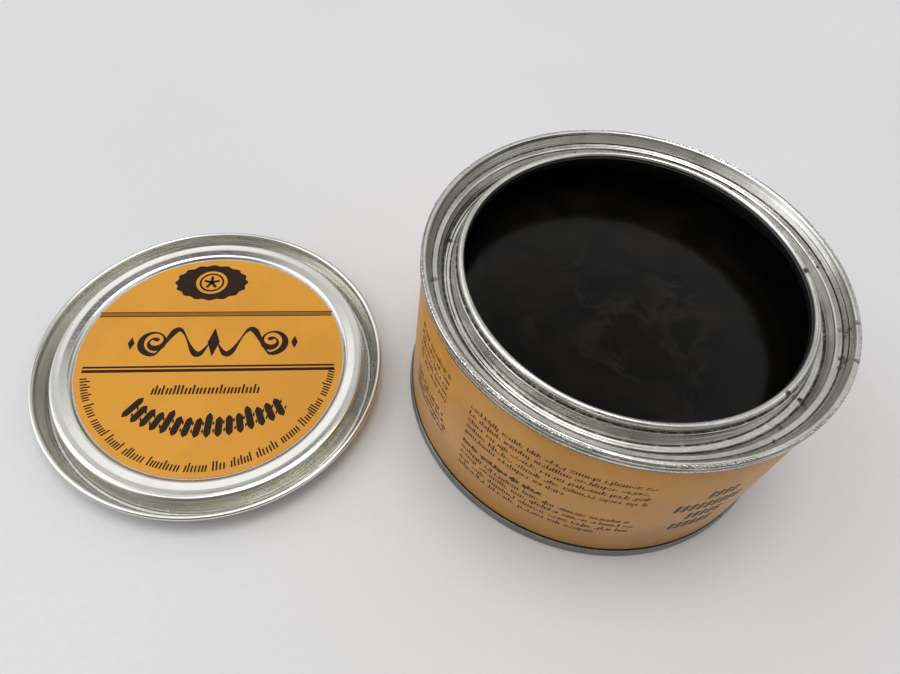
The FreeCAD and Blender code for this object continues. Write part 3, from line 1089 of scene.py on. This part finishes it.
# ---- table, light and camera ------------------------------------------------
def table_top():
    data = bmesh.new()
    bmesh.ops.create_grid(data, x_segments=8, y_segments=8, size=6.0)
    mesh = bpy.data.meshes.new("table_top")
    data.to_mesh(mesh)
    data.free()
    obj = bpy.data.objects.new("table_top", mesh)
    bpy.context.scene.collection.objects.link(obj)
    obj.data.materials.append(table_material())
    return obj


table_top()


def sky_way(azimuth, elevation):
    """Unit vector towards a part of the room; azimuth runs from +Y to +X."""
    a, e = math.radians(azimuth), math.radians(elevation)
    return (math.sin(a) * math.cos(e), math.cos(a) * math.cos(e), math.sin(e))


def studio_world():
    """Soft room: pale walls, a window to the left, dark patches overhead."""
    world = bpy.data.worlds.new("studio")
    bpy.context.scene.world = world
    world.use_nodes = True
    nodes, links = world.node_tree.nodes, world.node_tree.links
    nodes.clear()
    out = nodes.new("ShaderNodeOutputWorld")
    sky = nodes.new("ShaderNodeBackground")
    links.new(sky.outputs[0], out.inputs[0])
    way = nodes.new("ShaderNodeTexCoord").outputs["Generated"]
    # pale above, dim along the skirting
    parts = nodes.new("ShaderNodeSeparateXYZ")
    links.new(way, parts.inputs[0])
    rise = nodes.new("ShaderNodeValToRGB")
    links.new(parts.outputs["Z"], rise.inputs[0])
    rise.color_ramp.elements[0].position = math.sin(math.radians(8))
    rise.color_ramp.elements[0].color = (0.10, 0.097, 0.09, 1.0)
    rise.color_ramp.elements[1].position = math.sin(math.radians(22))
    rise.color_ramp.elements[1].color = (0.66, 0.66, 0.655, 1.0)
    colour = rise.outputs[0]
    # direction, angle where the patch fades out, angle inside which it is full
    patches = [
        ((0, 90), 23, 12, (1.75, 1.75, 1.74, 1.0)),
        ((-88, 30), 36, 22, (1.15, 1.15, 1.17, 1.0)),
        ((85, 50), 42, 24, (0.85, 0.85, 0.85, 1.0)),
        ((174, 24), 50, 34, (0.24, 0.235, 0.212, 1.0)),
        ((178, 57), 13, 8, (0.02, 0.02, 0.022, 1.0)),
        ((34, 45), 26, 17, (0.57, 0.57, 0.57, 1.0)),
        ((27, 54.5), 8.5, 3, (0.20, 0.20, 0.20, 1.0)),
        ((16, 55), 8.5, 3, (0.20, 0.20, 0.20, 1.0)),
        ((33, 50), 6, 2, (0.22, 0.22, 0.22, 1.0)),
        ((-3, 47), 11, 5, (0.80, 0.80, 0.79, 1.0)),
        ((-27, 43), 13, 8, (1.15, 1.15, 1.15, 1.0)),
        ((-18, 60.5), 3.4, 2.0, (0.04, 0.04, 0.05, 1.0)),
        ((-29, 63), 3.4, 2.0, (0.05, 0.05, 0.06, 1.0)),
    ]
    for (azimuth, elevation), fade, full, light in patches:
        dot = nodes.new("ShaderNodeVectorMath")
        dot.operation = "DOT_PRODUCT"
        links.new(way, dot.inputs[0])
        dot.inputs[1].default_value = sky_way(azimuth, elevation)
        ease = nodes.new("ShaderNodeMapRange")
        ease.interpolation_type = "SMOOTHSTEP"
        links.new(dot.outputs["Value"], ease.inputs[0])
        ease.inputs[1].default_value = math.cos(math.radians(fade))
        ease.inputs[2].default_value = math.cos(math.radians(full))
        blend = nodes.new("ShaderNodeMix")
        blend.data_type = "RGBA"
        links.new(ease.outputs[0], blend.inputs[0])
        links.new(colour, blend.inputs[6])
        blend.inputs[7].default_value = light
        colour = blend.outputs[2]
    links.new(colour, sky.inputs["Color"])
    sky.inputs["Strength"].default_value = 1.0


studio_world()


def area_light(name, azimuth, elevation, reach, size, power, colour=(1.0, 1.0, 1.0)):
    """Round soft box aimed at the tin."""
    data = bpy.data.lights.new(name, "AREA")
    data.shape = "DISK"
    data.size = size
    data.energy = power
    data.color = colour
    obj = bpy.data.objects.new(name, data)
    bpy.context.scene.collection.objects.link(obj)
    target = Vector((-0.03, 0.0, 0.02))
    aim = Vector(sky_way(azimuth, elevation))
    obj.location = target + aim * reach
    obj.rotation_euler = (-aim).to_track_quat("-Z", "Y").to_euler()
    return obj


area_light("window", -88, 50, 1.5, 1.0, 2.3, (1.0, 0.995, 0.985))
area_light("ceiling_lamp", 20, 82, 1.7, 0.8, 5.4, (1.0, 0.99, 0.975))

camera_data = bpy.data.cameras.new("camera")
camera = bpy.data.objects.new("camera", camera_data)
bpy.context.scene.collection.objects.link(camera)
camera.location = (-0.05620, -0.10917, 0.17050)
camera.rotation_euler = (0.61663, -0.05815, 0.01593)
camera_data.sensor_width = 36.0
camera_data.lens = 27.635
camera_data.shift_x = 0.0329
camera_data.shift_y = 0.0080
camera_data.clip_start = 0.005
camera_data.clip_end = 30.0
bpy.context.scene.camera = camera

view = bpy.context.scene.view_settings
view.view_transform = "Standard"
view.exposure = 0.0
